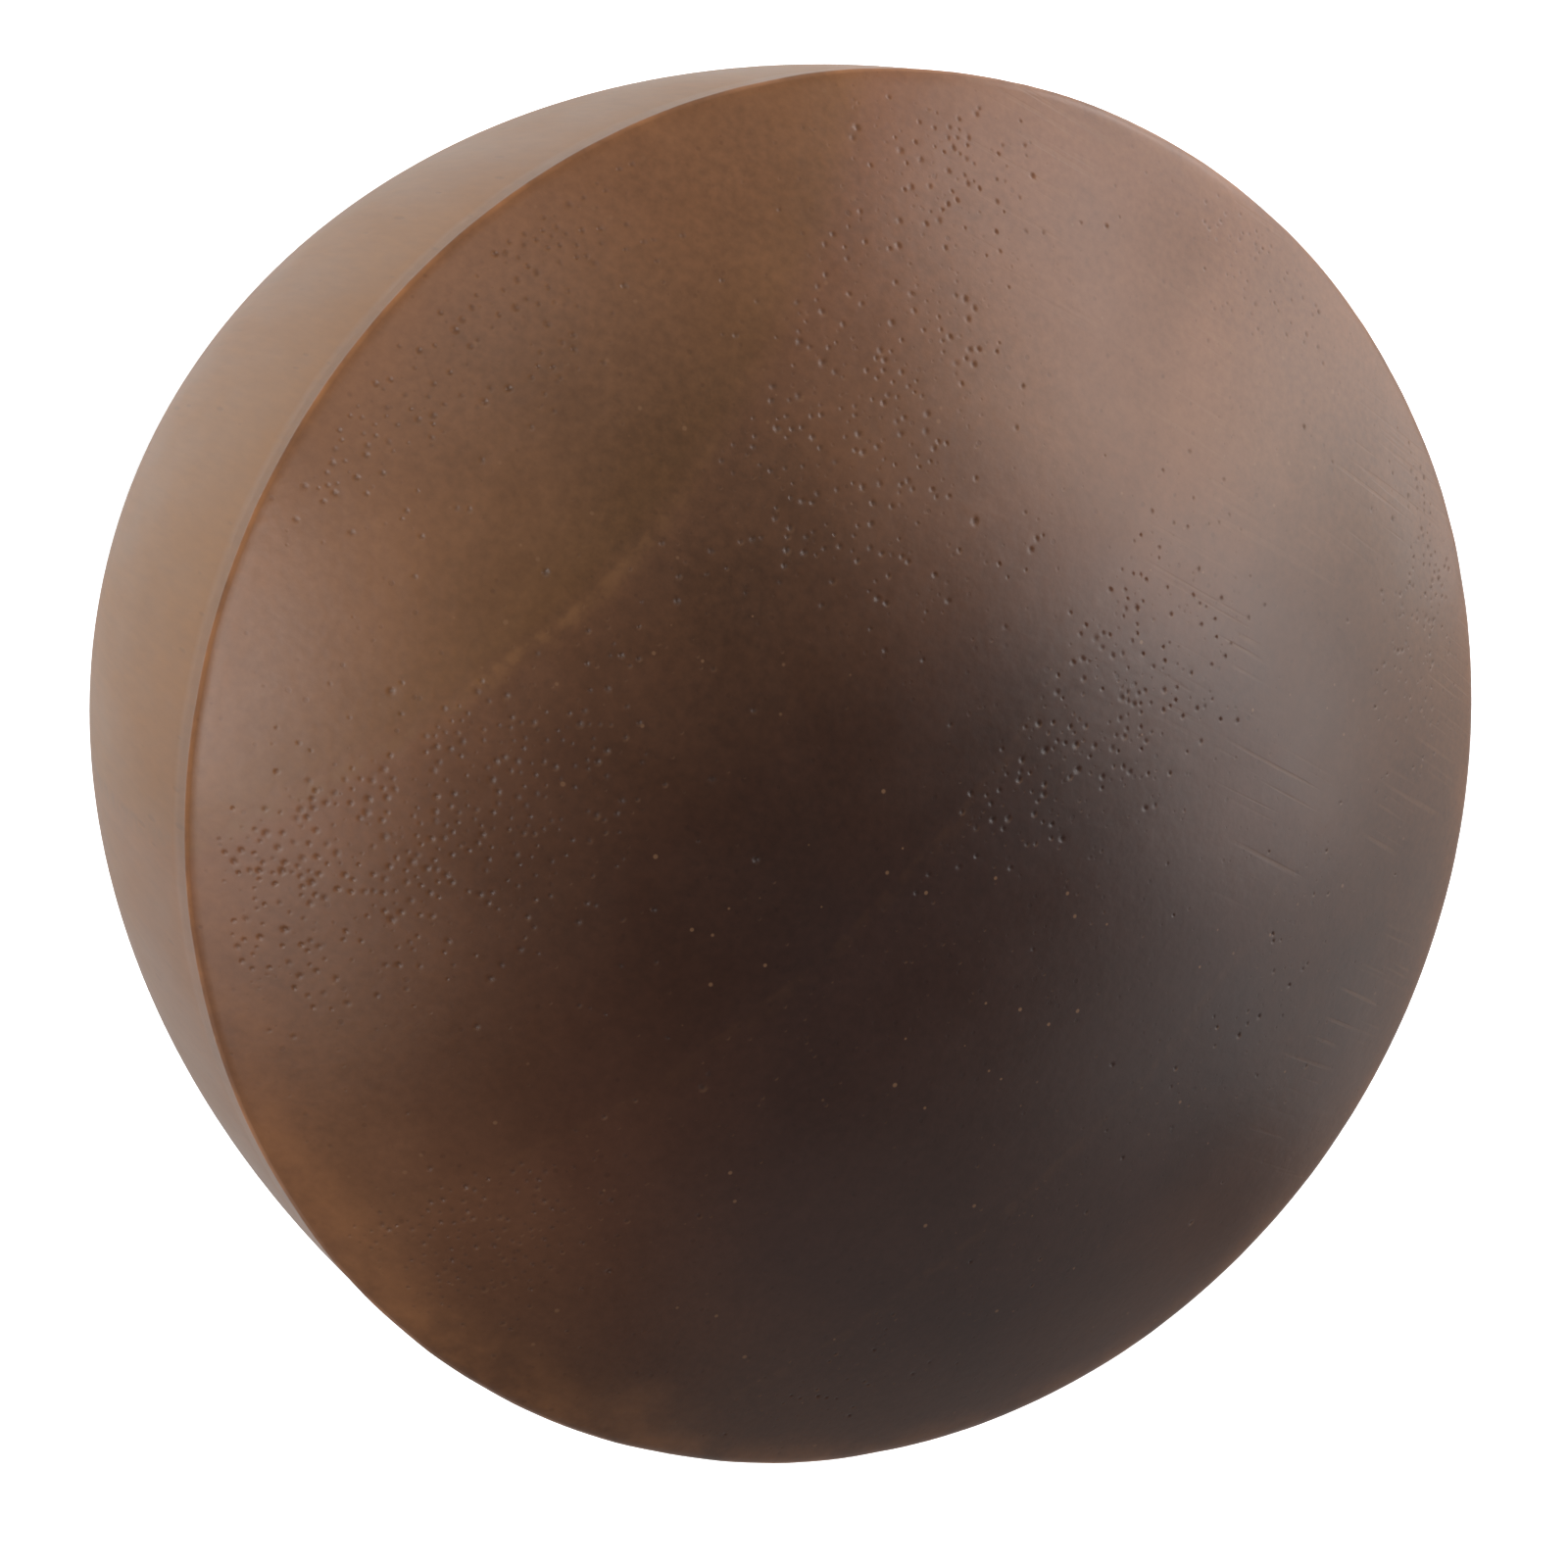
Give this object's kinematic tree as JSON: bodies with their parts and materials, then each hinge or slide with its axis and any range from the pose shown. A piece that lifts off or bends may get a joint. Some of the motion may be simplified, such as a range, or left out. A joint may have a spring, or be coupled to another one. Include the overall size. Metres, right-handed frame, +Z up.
{
  "type": "wooden mallet",
  "caption": "Small round carver's mallet with a domed, bellied wooden head on a turned in-line handle that stands on its flat butt.",
  "frame": {"origin": "middle of the flat butt of the handle, on which the mallet stands", "axes": "+Z up along the turning axis, from the butt to the domed striking end of the head; +X along the cross peg"},
  "size_m": [0.0664, 0.0664, 0.1854],
  "materials": {
    "head_wood": "dark brown walnut, end grain on the dome, satin lacquer",
    "handle_wood": "brown walnut, long grain, satin lacquer",
    "wedge_wood": "bare oak, sawn",
    "peg_wood": "oak end grain, pared flush, satin lacquer"
  },
  "bodies": {
    "root": {"mallet_head": "head_wood", "mallet_handle": "handle_wood", "fox_wedge": "wedge_wood", "cross_peg": "peg_wood"}
  },
  "joints": []
}
